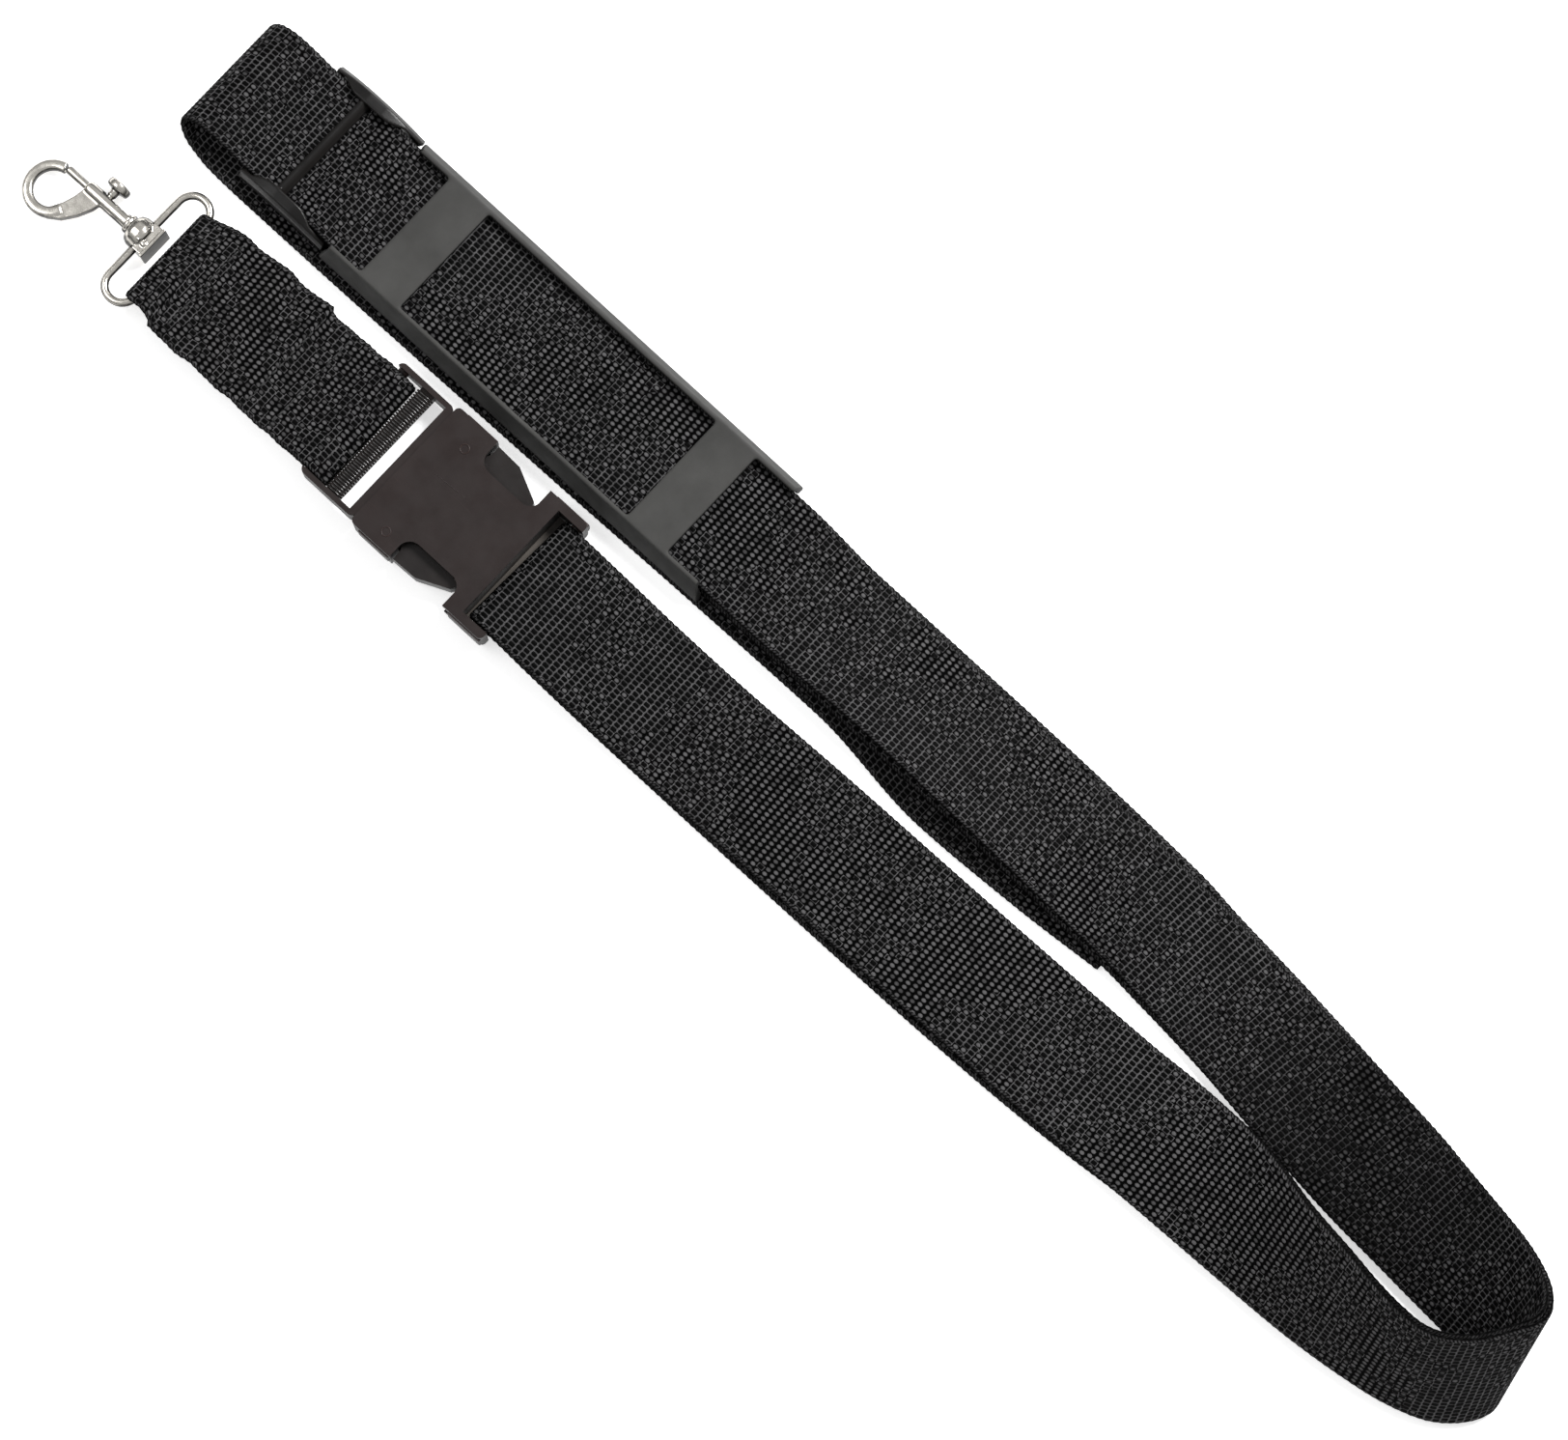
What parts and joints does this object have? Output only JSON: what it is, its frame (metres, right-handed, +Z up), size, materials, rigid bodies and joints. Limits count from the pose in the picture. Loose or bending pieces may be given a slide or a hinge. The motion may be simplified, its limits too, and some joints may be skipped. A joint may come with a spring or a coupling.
{
  "type": "webbing lanyard",
  "caption": "Long webbing shoulder lanyard with a snap hook, side-release buckle, strap slider and rubber shoulder pad, laid out flat and folded back on itself.",
  "frame": {"origin": "middle of the laid-out lanyard, on the surface that it lies on", "axes": "+X runs along the straps from the snap hook to the turn-back, +Y across from the buckle's run to the pad's run, +Z up"},
  "size_m": [0.5664, 0.0999, 0.0315],
  "materials": {
    "nickel": "bright nickel plate on cast zinc and steel wire",
    "spring_steel": "drawn wire",
    "webbing": "black plain-woven polypropylene webbing",
    "thread": "black sewing thread",
    "buckle_plastic": "moulded acetal, satin brown-black",
    "slider_plastic": "moulded acetal, satin",
    "pad_rubber": "matte moulded rubber"
  },
  "bodies": {
    "long_strap": {"webbing_socket_fold": "webbing", "webbing_front_top": "webbing", "webbing_front_under": "webbing", "webbing_bight_outer": "webbing", "webbing_bight_inner": "webbing", "webbing_back_under": "webbing", "webbing_back_top": "webbing", "webbing_slider_wave": "webbing", "webbing_end_bight": "webbing", "webbing_tail": "webbing", "webbing_fixed_end": "webbing", "fixed_end_stitching": "thread"},
    "socket_half": {"socket": "buckle_plastic"},
    "plug_half": {"plug_frame": "buckle_plastic"},
    "left_arm": {"plug_arm_left": "buckle_plastic"},
    "right_arm": {"plug_arm_right": "buckle_plastic"},
    "short_strap": {"short_strap": "webbing", "short_strap_stitching": "thread"},
    "loop_and_collar": {"strap_loop": "nickel", "swivel_collar": "nickel"},
    "hook": {"hook_body": "nickel", "bolt_spring": "spring_steel"},
    "bolt": {"hook_bolt": "nickel"},
    "slider": {"slider": "slider_plastic"},
    "pad": {"shoulder_pad": "pad_rubber"}
  },
  "joints": [
    {"name": "socket_hinge", "type": "hinge", "parent": "long_strap", "child": "socket_half", "pos_m": [-0.0891, -0.026, 0.006], "axis": [0, 1, 0], "range_deg": [0, 75]},
    {"name": "buckle_release", "type": "slide", "parent": "socket_half", "child": "plug_half", "axis": [-1, 0, 0], "range_m": [0, 0.034], "deforming": ["plug_arm_left", "plug_arm_right"]},
    {"name": "left_arm_pinch", "type": "hinge", "parent": "plug_half", "child": "left_arm", "pos_m": [-0.1377, -0.014, 0.006], "axis": [0, 0, -1], "range_deg": [0, 7], "stiffness_Nm_per_rad": 0.3},
    {"name": "right_arm_pinch", "type": "hinge", "parent": "plug_half", "child": "right_arm", "pos_m": [-0.1377, -0.038, 0.006], "axis": [0, 0, -1], "range_deg": [-7, 0], "stiffness_Nm_per_rad": 0.3},
    {"name": "plug_hinge", "type": "hinge", "parent": "plug_half", "child": "short_strap", "pos_m": [-0.1591, -0.0266, 0.006], "axis": [0, 1, 0], "range_deg": [-20, 75]},
    {"name": "loop_hinge", "type": "hinge", "parent": "short_strap", "child": "loop_and_collar", "pos_m": [-0.2331, -0.0283, 0.00665], "axis": [0, 1, 0], "range_deg": [-60, 60]},
    {"name": "hook_swivel", "type": "hinge", "parent": "loop_and_collar", "child": "hook", "pos_m": [-0.24505, -0.0283, 0.0055], "axis": [0.9954, 0, 0.0958], "continuous": true},
    {"name": "bolt_slide", "type": "slide", "parent": "hook", "child": "bolt", "axis": [0.9954, 0, 0.0958], "range_m": [0, 0.0066], "stiffness_N_per_m": 300, "springref_m": -0.004, "deforming": ["bolt_spring"]},
    {"name": "slider_slide", "type": "slide", "parent": "long_strap", "child": "slider", "axis": [-1, 0, 0], "range_m": [0, 0.008], "deforming": ["webbing_slider_wave", "webbing_fixed_end"]},
    {"name": "pad_slide", "type": "slide", "parent": "long_strap", "child": "pad", "axis": [1, 0, 0], "range_m": [0, 0.008]}
  ],
  "couplings": [
    {"joint": "right_arm_pinch", "follows": "left_arm_pinch", "ratio": -1}
  ]
}
